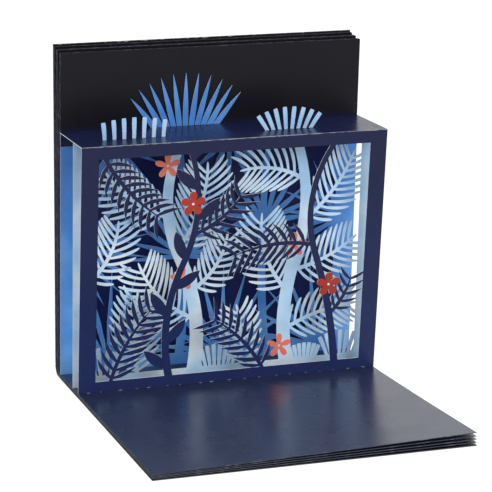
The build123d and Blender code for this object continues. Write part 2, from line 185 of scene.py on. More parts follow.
@dataclass(frozen=True)
class LaminatedCard:
    """Card printed with a solid ink under a satin film, and cut so that its core shows. Millimetres."""

    name: str
    ink: str
    foot_ink_and_painted_light: str
    core: str
    lay: Lay
    roughness: float = 0.27
    specular: float = 0.3
    lean: float = PAGE_LEAN
    hearts: Hearts | None = None
    lying_below: float = 3.05
    lying_above: float = 147.7
    crease: Point | None = None
    edge_tone: str = "#30343F"
    fade: Point = (8.0, 120.0)
    cloud: str = ""
    cloud_loss: float = 0.7
    tooth: float = 0.25
    fleck: str = "#82858F"
    rim: tuple[str, float] | None = None
    half_width: float = 90.0
    # Least share of the sheet's own normal on a printed face, least upward share on a lying one, and
    # the share along the spine past which a bent board shows its end.
    facing: float = 0.94
    level: float = 0.98
    end_on: float = 0.5
    # Ink unevenness, and how far the film's roughness strays from its own.
    mottle: Point = (0.92, 1.06)
    stray: Point = (-0.03, 0.04)
    edge_roughness: float = 0.85
    tooth_size: float = 0.8
    relief: float = 0.04
    film_ior: float = 1.49
    # Share of the film that is gone along a cracked crease and along a rubbed rim.
    cracked: float = 0.3
    rubbed: float = 0.55

    def printed_mask(self, tree: Tree, place: Node) -> Node:
        """Add the nodes that are one on printed faces and nought on cut edges.

        Args:
            tree: The material's tree.
            place: The node with the object's coordinates and normal.

        Returns:
            The node that gives the mask.
        """
        if self.lay is Lay.LEAVES:
            cut = add_node(tree, "ShaderNodeAttribute", attribute_name="cut_edge")
            return add_node(tree, MATH, (1.0, cut.outputs["Fac"]), operation="SUBTRACT")
        lean = radians(self.lean)
        normal = {Lay.LYING: (0, 0, 1), Lay.BENT: (1, 0, 0)}.get(self.lay, (0, cos(lean), sin(lean)))
        along = add_node(tree, VECTOR_MATH, (place.outputs["Normal"], normal), operation="DOT_PRODUCT")
        size = add_node(tree, MATH, (along.outputs["Value"],), operation="ABSOLUTE")
        if self.lay is Lay.BENT:
            return add_node(tree, MATH, (size, self.end_on), operation="LESS_THAN")
        facing = add_node(tree, MATH, (size, self.facing), operation="GREATER_THAN")
        if self.lay is not Lay.FOLDED:
            return facing
        upward = add_node(tree, VECTOR_MATH, (place.outputs["Normal"], (0, 0, 1)), operation="DOT_PRODUCT")
        level = add_node(tree, MATH, (upward.outputs["Value"],), operation="ABSOLUTE")
        flat = add_node(tree, MATH, (level, self.level), operation="GREATER_THAN")
        height = add_node(tree, SEPARATE, (place.outputs["Object"],)).outputs["Z"]
        low = add_node(tree, MATH, (height, self.lying_below * MM), operation="LESS_THAN")
        high = add_node(tree, MATH, (height, self.lying_above * MM), operation="GREATER_THAN")
        panel = add_node(tree, MATH, (low, high), operation="MAXIMUM")
        lying = add_node(tree, MATH, (flat, panel), operation="MULTIPLY")
        return add_node(tree, MATH, (facing, lying), operation="MAXIMUM")

    def ink_colour(self, tree: Tree, spot: Socket) -> Node:
        """Add the nodes of the printed colour, and of the painted light that some cards carry.

        Args:
            tree: The material's tree.
            spot: Place on the book.

        Returns:
            The node that gives the colour.
        """
        part = add_node(tree, SEPARATE, (spot,))
        # The ground changes from its foot colour to its own between the two heights. On the navy card this
        # is print; the pale card's lighter foot and the page's navy foot are painted light.
        height = add_node(tree, MAP_RANGE, (part.outputs["Z"], self.fade[0] * MM, self.fade[1] * MM))
        colour: Any = to_linear(self.foot_ink_and_painted_light)
        layers = [(height, self.ink)]
        if self.cloud:
            # The ground passes to cloud colour and back about every 30 mm, less so higher up: uneven print
            # tone, which on the pale card also carries painted light towards its foot.
            lit = patches(tree, spot, size=30, detail=1.0, spread=(0.4, 0.62))
            fading = add_node(tree, MATH, (height, -self.cloud_loss, 1.0), operation="MULTIPLY_ADD")
            layers.append((add_node(tree, MATH, (lit, fading), operation="MULTIPLY"), self.cloud))
        if self.hearts:
            layers.append((self.hearts.mask(tree, part, self.lean), self.hearts.colour))
        for share, code in layers:
            mixed = add_node(tree, MIX, {"Factor": share, 6: colour, 7: to_linear(code)}, data_type="RGBA")
            colour = mixed.outputs[2]
        # Offset ink lies a few percent unevenly in patches of about 7 mm.
        uneven = patches(tree, spot, size=7, detail=3.0, values=self.mottle)
        return add_node(tree, VECTOR_MATH, {0: colour, "Scale": uneven}, operation="SCALE")

    def worn_crease(self, tree: Tree, spot: Socket) -> Node:
        """Add the nodes of the film that is cracked to the core along a fold.

        Args:
            tree: The material's tree.
            spot: Place on the book.

        Returns:
            The node that gives the share of the cracked film.
        """
        part = add_node(tree, SEPARATE, (spot,))
        gone = []
        for axis, middle in zip("YZ", self.crease):
            away = add_node(tree, MATH, (part.outputs[axis], middle * MM), operation="SUBTRACT")
            gone.append(add_node(tree, MATH, (away,), operation="ABSOLUTE"))
        far = add_node(tree, MATH, gone, operation="MAXIMUM")
        # The crack is 0.2 to 0.9 mm wide and changes every 4 mm along the fold.
        reach = patches(tree, spot, size=4, detail=4.0, spread=(0.35, 0.65), values=(0.1 * MM, 0.45 * MM))
        near = add_node(tree, MATH, (far, reach), operation="LESS_THAN")
        return add_node(tree, MATH, (near, self.cracked), operation="MULTIPLY")

    def worn_rim(self, tree: Tree, spot: Socket) -> Node:
        """Add the nodes of the film that is rubbed off along a board's outline.

        Args:
            tree: The material's tree.
            spot: Place on the book.

        Returns:
            The node that gives the share of the rubbed film.
        """
        part = add_node(tree, SEPARATE, (spot,))
        inside = []
        for axis, limit in (("X", self.half_width), self.rim):
            away = add_node(tree, MATH, (part.outputs[axis],), operation="ABSOLUTE")
            inside.append(add_node(tree, MATH, (limit * MM, away), operation="SUBTRACT"))
        near = add_node(tree, MATH, inside, operation="MINIMUM")
        # Rubbing reaches up to 0.9 mm in from the edge, in marks about 3 mm long.
        reach = patches(tree, spot, size=3, detail=4.0, spread=(0.48, 0.72), values=(0.0, 0.9 * MM))
        worn = add_node(tree, MATH, (near, reach), operation="LESS_THAN")
        return add_node(tree, MATH, (worn, self.rubbed), operation="MULTIPLY")

    def material(self) -> bpy.types.Material:
        """Build the card's material.

        Returns:
            The material.
        """
        made = blank_material(self.name)
        tree = made.node_tree
        place = add_node(tree, "ShaderNodeTexCoord")
        spot = place.outputs["Object"]
        printed = self.printed_mask(tree, place)
        colour: Any = self.ink_colour(tree, spot)
        core: Any = to_linear(self.core)
        for wanted, worn in ((self.crease, self.worn_crease), (self.rim, self.worn_rim)):
            if wanted:
                shares = {"Factor": worn(tree, spot), 6: colour, 7: core}
                colour = add_node(tree, MIX, shares, data_type="RGBA").outputs[2]
        if self.lay is Lay.LEAVES:
            # Each leaf's cut edge has its own tone, as cards of one stack take the light differently.
            tone = add_node(tree, "ShaderNodeAttribute", attribute_name="leaf_tone")
            # Knocks have opened the edges into pale flecks, 5 mm long and as thin as a leaf.
            along = add_node(tree, VECTOR_MATH, (spot, (1.0, 4.0, 1.0)), operation="MULTIPLY")
            opened = patches(tree, along, size=5, detail=3.0, spread=(0.55, 0.66))
            for share, code in ((tone.outputs["Fac"], self.edge_tone), (opened, self.fleck)):
                shares = {"Factor": share, 6: core, 7: to_linear(code)}
                core = add_node(tree, MIX, shares, data_type="RGBA").outputs[2]
        surface = add_node(tree, MIX, {"Factor": printed, 6: core, 7: colour}, data_type="RGBA")
        # Cut card is matt and the film over the ink is satin, handled into patches of about 30 mm.
        satin = tuple(self.roughness + step for step in self.stray)
        film = patches(tree, spot, size=30, detail=2.0, values=satin)
        matt = add_node(tree, MIX, {"Factor": printed, 2: self.edge_roughness, 3: film}, data_type="FLOAT")
        # The tooth of the card telegraphs through the film, 0.8 mm coarse so that it shows.
        tooth = add_node(tree, NOISE, {
            "Vector": spot, "Scale": 1 / (self.tooth_size * MM), "Detail": 2.0})
        relief = add_node(tree, "ShaderNodeBump", {
            "Height": tooth, "Strength": self.tooth, "Distance": self.relief * MM})
        shader = add_node(tree, "ShaderNodeBsdfPrincipled", {
            "Base Color": surface.outputs[2], "Roughness": matt, "Normal": relief, "IOR": self.film_ior,
            "Specular IOR Level": self.specular})
        add_node(tree, "ShaderNodeOutputMaterial", {"Surface": shader})
        return made


FRONT_HEARTS = Hearts(((-24.96, 109.59), (58.79, 54.48)))
MIDDLE_HEARTS = Hearts(((-25.24, 60.75), (42.26, 76.08), (-35.03, 128.70), (34.66, 14.69)))

# Offset-printed, film-laminated cards. Satin film gives soft mirror images at a low angle.
NAVY_CARD = LaminatedCard(
    "navy_laminated_card", "#161D42", "#1E2C5C", "#F1F2F4", Lay.FOLDED, lean=FRONT_LEAN, specular=0.2,
    crease=(37.3, 148.15))
# The pale card is painted lighter and bluer towards its foot, and its pale clouds are strongest low down:
# painted light and painted blue bounce light over uneven print.
PALE_CARD = LaminatedCard(
    "pale_blue_laminated_card", "#A3CFF8", "#BFE3FF", "#EAF4FD", Lay.FOLDED, roughness=0.38,
    cloud="#E8F6FF", fade=(50.0, 160.0))
BLUE_CARD = LaminatedCard(
    "mid_blue_laminated_card", "#4F8BD8", "#5CA2F0", "#E2EAF4", Lay.STANDING, roughness=0.36,
    cloud="#7AB8FA")
RED_CARD = LaminatedCard(
    "brick_red_laminated_card", "#A93424", "#A93424", "#F4E9E2", Lay.STANDING, roughness=0.34,
    lean=FRONT_LEAN, hearts=FRONT_HEARTS)
SALMON_CARD = LaminatedCard(
    "salmon_laminated_card", "#F98471", "#F98471", "#F8EEE8", Lay.STANDING, roughness=0.38,
    hearts=MIDDLE_HEARTS)
# Black card stock with a film: its cut edge is dark grey and not white. Below the top of the box, behind
# the scene, it is painted navy: painted blue bounce light from the layers.
PAGE_CARD = LaminatedCard(
    "black_laminated_page_card", "#131219", "#1A2456", "#4A4D58", Lay.LEAVES, roughness=0.3,
    specular=0.14, edge_tone="#22252E", fade=(138.0, 152.0))
# The same card where hands have polished it, so that the lying page mirrors the scene. Its ink is also
# painted a lighter blue-grey than the standing page's black: a painted reflection of the bright room and
# the pale layers.
LYING_PAGE_CARD = LaminatedCard(
    "polished_black_page_card_painted_sheen", "#242B47", "#242B47", "#474A55", Lay.LEAVES, roughness=0.27,
    specular=0.62, tooth=0.3, fleck="#5E616C", rim=("Y", 95.5))
# Thin cover board, printed black outside: its grey-beige core shows as a pale line round the edge.
COVER_CARD = LaminatedCard(
    "black_laminated_cover_board", "#141418", "#141418", "#B7B2A8", Lay.STANDING, roughness=0.3,
    lean=COVER_LEAN, rim=("Z", 196.8))
SPINE_CARD = LaminatedCard(
    "black_laminated_spine_board", "#141418", "#141418", "#B7B2A8", Lay.BENT, roughness=0.3)
# The board that the book stands on has its edge core painted dark, a painted shade along the lying edge,
# so that no pale line shows there.
LYING_COVER_CARD = LaminatedCard(
    "black_lying_cover_board_painted_shade_edge", "#141418", "#141418", "#3E3D40", Lay.LYING, roughness=0.3,
    rim=("Y", 95.5))


def new_tree(name: str, sizes: dict[str, Any]) -> tuple[Tree, Any]:
    """Start a Geometry Nodes tree with named inputs and a geometry input and output.

    Args:
        name: The tree's name.
        sizes: A value or its type for each named input. What is no number or place is a material.

    Returns:
        The tree and its inputs by name.
    """
    tree = bpy.data.node_groups.new(name, "GeometryNodeTree")
    tree.interface.new_socket("Geometry", in_out="INPUT", socket_type="NodeSocketGeometry")
    for label, size in sizes.items():
        kind = SOCKET_TYPES.get(size if isinstance(size, type) else type(size), "NodeSocketMaterial")
        tree.interface.new_socket(label, in_out="INPUT", socket_type=kind)
    tree.interface.new_socket("Geometry", in_out="OUTPUT", socket_type="NodeSocketGeometry")
    return tree, add_node(tree, "NodeGroupInput").outputs


def end_tree(tree: Tree, given: Any, shape: Node) -> None:
    """End a tree in plain geometry with its material.

    Args:
        tree: The tree.
        given: The tree's inputs by name.
        shape: The node that gives the shape.
    """
    real = add_node(tree, "GeometryNodeRealizeInstances", (shape,))
    dressed = add_node(tree, "GeometryNodeSetMaterial", {"Geometry": real, "Material": given["Material"]})
    add_node(tree, "NodeGroupOutput", (dressed,))


def grown(name: str, tree: Tree, sizes: dict[str, Any],
          bed: bpy.types.Mesh | None = None) -> bpy.types.Object:
    """Run a Geometry Nodes tree once and keep its result as a plain mesh.

    Args:
        name: The piece's name.
        tree: The tree.
        sizes: The value of each named input.
        bed: The mesh that the tree starts from, where it needs one.

    Returns:
        The piece, with no modifier left on it.
    """
    piece = bpy.data.objects.new(name, bed or bpy.data.meshes.new(name))
    bpy.context.scene.collection.objects.link(piece)
    modifier = piece.modifiers.new("grow", "NODES")
    modifier.node_group = tree
    for item in tree.interface.items_tree:
        if item.item_type == "SOCKET" and item.in_out == "INPUT" and item.name in sizes:
            modifier[item.identifier] = sizes[item.name]
    seen = piece.evaluated_get(bpy.context.evaluated_depsgraph_get())
    mesh = bpy.data.meshes.new_from_object(seen)
    mesh.name = name
    mesh.materials.clear()
    mesh.materials.append(sizes["Material"])
    piece.modifiers.remove(modifier)
    piece.data = mesh
    return piece


@dataclass
class LeafBlock:
    """The leaves of the book: those that lie under the open spread and those that stand behind it."""

    width: float = 180.0
    fore_edge_y: float = -95.5
    fan_start_y: float = 49.5
    gutter_y: float = 96.5
    floor: float = 0.9
    pitch: float = 0.42
    thickness: float = 0.37
    lower_leaves: int = 4
    rise_left: float = 0.7
    rise_right: float = 5.0
    fan_power: float = 1.3
    fan_ease: float = 1.15
    lying_wave: float = 0.5
    arc_y: float = 102.1
    arc_z: float = 6.0
    arc_radius: float = 5.1
    page_top: float = 194.01
    back_foot_y: float = 107.2
    slack: float = 0.5
    spread_rise: float = 0.95
    standing_wave: float = 4.0
    wave_power: float = 4.0
    # How much the ripples of two leaves differ, ripples across a leaf and their finer levels.
    lying_ripple: tuple[float, float, float] = (3.7, 2.6, 1.0)
    standing_ripple: tuple[float, float, float] = (0.35, 3.4, 1.5)
    # Leaves of each closed spread, then its near and far face as shares of the block's depth at the top
    # and at the notch, with the notch's share of the height.
    spreads: tuple[tuple[int, tuple[float, float, float], tuple[float, float, float]], ...] = (
        (6, (0.0, 0.0, 0.5), (0.2, 0.3, 0.86)),
        (8, (0.42, 0.3, 0.86), (0.63, 0.72, 0.66)),
        (6, (0.82, 0.72, 0.66), (1.0, 1.0, 0.5)),
    )
    seed: int = 11
    trim_seed: int = 5
    lying_grid: tuple[int, int] = (31, 61)
    standing_grid: tuple[int, int] = (31, 49)
    lying_finish: LaminatedCard = LYING_PAGE_CARD
    standing_finish: LaminatedCard = PAGE_CARD

    def stack(self, tree: Tree, given: Any, grid: tuple[int, int]) -> tuple[Node, Socket, Any]:
        """Add the nodes that stack unit leaves with their number, tone and cut edges stored.

        Args:
            tree: The tree.
            given: The tree's inputs by name.
            grid: Number of points across and along a leaf.

        Returns:
            The stacked leaves, each point's leaf number and its place on the unit leaf.
        """
        unit = add_node(tree, "GeometryNodeMeshCube", {
            "Size": (1, 1, 1), "Vertices X": grid[0], "Vertices Y": grid[1], "Vertices Z": 2})
        side = add_node(tree, SEPARATE, (add_node(tree, "GeometryNodeInputNormal"),))
        size = add_node(tree, MATH, (side.outputs["Z"],), operation="ABSOLUTE")
        cut = add_node(tree, MATH, (size, 0.5), operation="LESS_THAN")
        leaf = add_node(tree, STORE, {"Geometry": unit, "Name": "cut_edge", "Value": cut},
                        data_type="FLOAT", domain="FACE")
        row = add_node(tree, "GeometryNodeMeshLine", {
            "Count": given["Leaves"], "Start Location": (0, 0, 0), "Offset": (0, 0, 0)})
        placed = add_node(tree, "GeometryNodeInstanceOnPoints", {"Points": row, "Instance": leaf})
        number = add_node(tree, "GeometryNodeInputIndex")
        tone = add_node(tree, RANDOM, {"Min": 0.0, "Max": 1.0, "ID": number, "Seed": given["Seed"]},
                        data_type="FLOAT")
        for label, value in (("leaf", number), ("leaf_tone", tone.outputs["Value"])):
            placed = add_node(tree, STORE, {"Geometry": placed, "Name": label, "Value": value},
                              data_type="FLOAT", domain="INSTANCE")
        real = add_node(tree, "GeometryNodeRealizeInstances", (placed,))
        label = add_node(tree, "GeometryNodeInputNamedAttribute", {"Name": "leaf"}, data_type="FLOAT")
        where = add_node(tree, SEPARATE, (add_node(tree, "GeometryNodeInputPosition"),))
        return real, label.outputs["Attribute"], where.outputs

    def trimmed(self, tree: Tree, number: Socket, whole: Socket, seed: Any) -> Node:
        """Add the nodes that trim each leaf a little differently.

        Args:
            tree: The tree.
            number: The leaf's number.
            whole: The size before the trim.
            seed: Seed of the trim.

        Returns:
            The node that gives the trimmed size.
        """
        trim = add_node(tree, RANDOM, {"Min": 0.0, "Max": self.slack * MM, "ID": number, "Seed": seed},
                        data_type="FLOAT")
        return add_node(tree, MATH, (whole, trim.outputs["Value"]), operation="SUBTRACT")

    def ripple(self, tree: Tree, given: Any, number: Socket, where: Any, form: tuple[float, float, float],
               shift: Any = (0, 0, 0)) -> Node:
        """Add the nodes of a leaf's own ripple.

        Args:
            tree: The tree.
            given: The tree's inputs by name.
            number: The leaf's number.
            where: Place on the unit leaf.
            form: How much leaves differ, waves across a leaf and finer levels.
            shift: What sets one bundle's ripples apart from another's.

        Returns:
            The node that gives the ripple's height.
        """
        apart = add_node(tree, MATH, (number, form[0]), operation="MULTIPLY")
        sample = add_node(tree, COMBINE, (where["X"], where["Y"], apart))
        moved = add_node(tree, VECTOR_MATH, (sample, shift), operation="ADD")
        waves = add_node(tree, NOISE, {"Vector": moved, "Scale": form[1], "Detail": form[2]})
        centred = add_node(tree, MATH, (waves, 0.5), operation="SUBTRACT")
        return add_node(tree, MATH, (centred, given["Wave"]), operation="MULTIPLY")

    def place_leaves(self, tree: Tree, given: Any, leaves: Node, number: Socket, where: Any,
                     depth_and_height: tuple[Node, Node]) -> None:
        """Add the nodes that set each point's place, and end the tree.

        Args:
            tree: The tree.
            given: The tree's inputs by name.
            leaves: The stacked unit leaves.
            number: The leaf's number.
            where: Place on the unit leaf.
            depth_and_height: The nodes that give the point's y and z.
        """
        width = self.trimmed(tree, number, given["Width"], given["Seed"])
        x = add_node(tree, MATH, (where["X"], width), operation="MULTIPLY")
        place = add_node(tree, COMBINE, (x, *depth_and_height))
        bent = add_node(tree, "GeometryNodeSetPosition", {"Geometry": leaves, "Position": place})
        end_tree(tree, given, bent)

    def lower_tree(self, sizes: dict[str, Any]) -> Tree:
        """Build the tree of the lying leaves, which fan open towards the fore-edge.

        Args:
            sizes: The value of each named input.

        Returns:
            The tree.
        """
        tree, given = new_tree("lying_leaves", sizes)
        leaves, number, where = self.stack(tree, given, self.lying_grid)
        # Height of the leaf's floor, then its end on the round back of the block.
        base = add_node(tree, MATH, (number, given["Pitch"], given["Floor"]), operation="MULTIPLY_ADD")
        below = add_node(tree, MATH, (self.arc_z * MM, base), operation="SUBTRACT")
        square = add_node(tree, MATH, (below, below), operation="MULTIPLY")
        left = add_node(tree, MATH, ((self.arc_radius * MM) ** 2, square), operation="SUBTRACT")
        root = add_node(tree, MATH, (left, 0.5), operation="POWER")
        end = add_node(tree, MATH, (self.arc_y * MM, root), operation="ADD")
        share = add_node(tree, MATH, (where["Y"], 0.5), operation="ADD")
        y = add_node(tree, MAP_RANGE, (share, 0.0, 1.0, given["Fore edge"], end))
        # The fan opens towards the fore-edge, most at the reader's right and in the uppermost leaf.
        opened = add_node(tree, MAP_RANGE, (y, given["Fan start"], given["Fore edge"], 0.0, 1.0))
        eased = add_node(tree, MATH, (opened, self.fan_ease), operation="POWER")
        rise = add_node(tree, MAP_RANGE, (where["X"], -0.5, 0.5, given["Rise left"], given["Rise right"]))
        order = add_node(tree, MATH, (number, 1.0), operation="ADD")
        part = add_node(tree, MATH, (order, given["Leaves"]), operation="DIVIDE")
        own = add_node(tree, MATH, (part, given["Fan power"]), operation="POWER")
        lift = add_node(tree, MATH, (own, rise), operation="MULTIPLY")
        raised = add_node(tree, MATH, (lift, eased), operation="MULTIPLY")
        # Leaves curl by a few tenths over about 70 mm, each in its own way.
        curl = self.ripple(tree, given, number, where, self.lying_ripple)
        wave = add_node(tree, MATH, (curl, eased), operation="MULTIPLY")
        within = add_node(tree, MATH, (where["Z"], 0.5), operation="ADD")
        level = add_node(tree, MATH, (within, given["Thickness"], base), operation="MULTIPLY_ADD")
        fanned = add_node(tree, MATH, (level, raised), operation="ADD")
        z = add_node(tree, MATH, (fanned, wave), operation="ADD")
        self.place_leaves(tree, given, leaves, number, where, (y, z))
        return tree

    def spread_tree(self, sizes: dict[str, Any]) -> Tree:
        """Build the tree of one closed spread, a bundle of leaves that stands behind the open page.

        Args:
            sizes: The value of each named input.

        Returns:
            The tree.
        """
        tree, given = new_tree("closed_spread", sizes)
        leaves, number, where = self.stack(tree, given, self.standing_grid)
        share = add_node(tree, MATH, (where["Y"], 0.5), operation="ADD")
        others = add_node(tree, MATH, (given["Leaves"], -1.0), operation="ADD")
        order = add_node(tree, MATH, (number, others), operation="DIVIDE")
        bounds = [add_node(tree, MAP_RANGE, (
            share, given[end + " notch height"], 1.0, given[end + " notch"], given[end + " top"]))
            for end in ("Near", "Far")]
        depth = add_node(tree, MAP_RANGE, (order, 0.0, 1.0, *bounds))
        foot = add_node(tree, MAP_RANGE, (order, 0.0, 1.0, given["Near notch"], given["Far notch"]))
        # The foot of a leaf follows the round back of the block.
        foot_y = add_node(tree, MAP_RANGE, (foot, 0.0, 1.0, given["Gutter"], given["Back"]))
        past = add_node(tree, MATH, (foot_y, self.arc_y * MM), operation="SUBTRACT")
        beyond = add_node(tree, MATH, (past, 0.0), operation="MAXIMUM")
        square = add_node(tree, MATH, (beyond, beyond), operation="MULTIPLY")
        left = add_node(tree, MATH, ((self.arc_radius * MM) ** 2, square), operation="SUBTRACT")
        root = add_node(tree, MATH, (left,), operation="SQRT")
        arc = add_node(tree, MATH, (self.arc_z * MM, root), operation="SUBTRACT")
        bottom = add_node(tree, MATH, (arc, given["Foot"]), operation="MAXIMUM")
        top = self.trimmed(tree, number, given["Top"], self.trim_seed)
        z = add_node(tree, MAP_RANGE, (share, 0.0, 1.0, bottom, top))
        above = add_node(tree, MATH, (z, given["Foot"]), operation="SUBTRACT")
        faces = []
        for start, slope in (("Gutter", "Page slope"), ("Back", "Back slope")):
            drift = add_node(tree, MATH, (above, given[slope]), operation="MULTIPLY")
            faces.append(add_node(tree, MATH, (given[start], drift), operation="SUBTRACT"))
        room = add_node(tree, MATH, (faces[1], given["Thickness"]), operation="SUBTRACT")
        front = add_node(tree, MAP_RANGE, (depth, 0.0, 1.0, faces[0], room))
        behind = add_node(tree, MATH, (0.5, where["Z"]), operation="SUBTRACT")
        solid = add_node(tree, MATH, (behind, given["Thickness"], front), operation="MULTIPLY_ADD")
        # Standing leaves ripple towards their free tops, least next to the open page and the cover.
        ripple = self.ripple(tree, given, number, where, self.standing_ripple, given["Near top"])
        late = add_node(tree, MATH, (share, self.wave_power), operation="POWER")
        rest = add_node(tree, MATH, (1.0, depth), operation="SUBTRACT")
        belly = add_node(tree, MATH, (rest, depth), operation="MULTIPLY")
        held = add_node(tree, MATH, (belly, late), operation="MULTIPLY")
        y = add_node(tree, MATH, (ripple, held, solid), operation="MULTIPLY_ADD")
        self.place_leaves(tree, given, leaves, number, where, (y, z))
        return tree

    def build(self) -> list[bpy.types.Object]:
        """Make the leaves, which stand for the solid block.

        Returns:
            The pieces.
        """
        shared = {"Width": self.width * MM, "Thickness": self.thickness * MM}
        lying = shared | {
            "Leaves": self.lower_leaves, "Seed": self.seed, "Fore edge": self.fore_edge_y * MM,
            "Fan start": self.fan_start_y * MM, "Floor": self.floor * MM, "Pitch": self.pitch * MM,
            "Rise left": self.rise_left * MM, "Rise right": self.rise_right * MM,
            "Fan power": self.fan_power, "Wave": self.lying_wave * MM,
            "Material": self.lying_finish.material()}
        made = [grown("lying_leaves", self.lower_tree(lying), lying)]
        shared |= {
            "Foot": PAGE_FOOT, "Gutter": self.gutter_y * MM, "Back": self.back_foot_y * MM,
            "Page slope": tan(radians(PAGE_LEAN)), "Back slope": tan(radians(COVER_LEAN)),
            "Wave": self.standing_wave * MM, "Material": self.standing_finish.material()}
        tree = None
        for index, (leaves, near, far) in enumerate(self.spreads):
            sizes = shared | {
                "Leaves": leaves, "Seed": self.seed + index,
                "Top": (self.page_top + index * self.spread_rise) * MM}
            for end, face in (("Near", near), ("Far", far)):
                sizes |= {end + " top": face[0], end + " notch": face[1], end + " notch height": face[2]}
            tree = tree or self.spread_tree(sizes)
            made.append(grown("closed_spread_" + str(index + 1), tree, sizes))
        for piece in made:
            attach(piece, BOOK)
            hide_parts("pages")
        return made


def bow_point(start: Point, heading: float, length: float, bend: float, share: float) -> Point:
    """Find a point along an arc.

    Args:
        start: Where the arc starts.
        heading: Its first direction in degrees.
        length: Its length.
        bend: How far it turns over that length, in degrees.
        share: How far along it the point is.

    Returns:
        The point.
    """
    half_turn = radians(bend) * share / 2
    chord = length * share * (sin(half_turn) / half_turn if half_turn else 1)
    direction = radians(heading) + half_turn
    return (start[0] + chord * cos(direction), start[1] + chord * sin(direction))


@dataclass(frozen=True)
class Strip:
    """One strip cut from a card: a bowed centre line and half widths at root, belly and end."""

    start: Point
    heading: float
    length: float
    bend: float
    root: float
    belly: float
    end: float
    belly_share: float
    inset: float


@dataclass(frozen=True)
class Sheet:
    """A standing sheet of card: the plane that its strips and frame are cut in."""

    foot_y: float
    lean: float
    side: float
    low: float
    high: float
    card: float

    def point(self, x: float, height: float, behind: float) -> tuple[float, float, float]:
        """Turn a place on the sheet into one in the frame, from millimetres to metres."""
        lean = radians(self.lean)
        return (x * MM, (self.foot_y - height * sin(lean) + behind * cos(lean)) * MM,
                PAGE_FOOT + (height * cos(lean) + behind * sin(lean)) * MM)


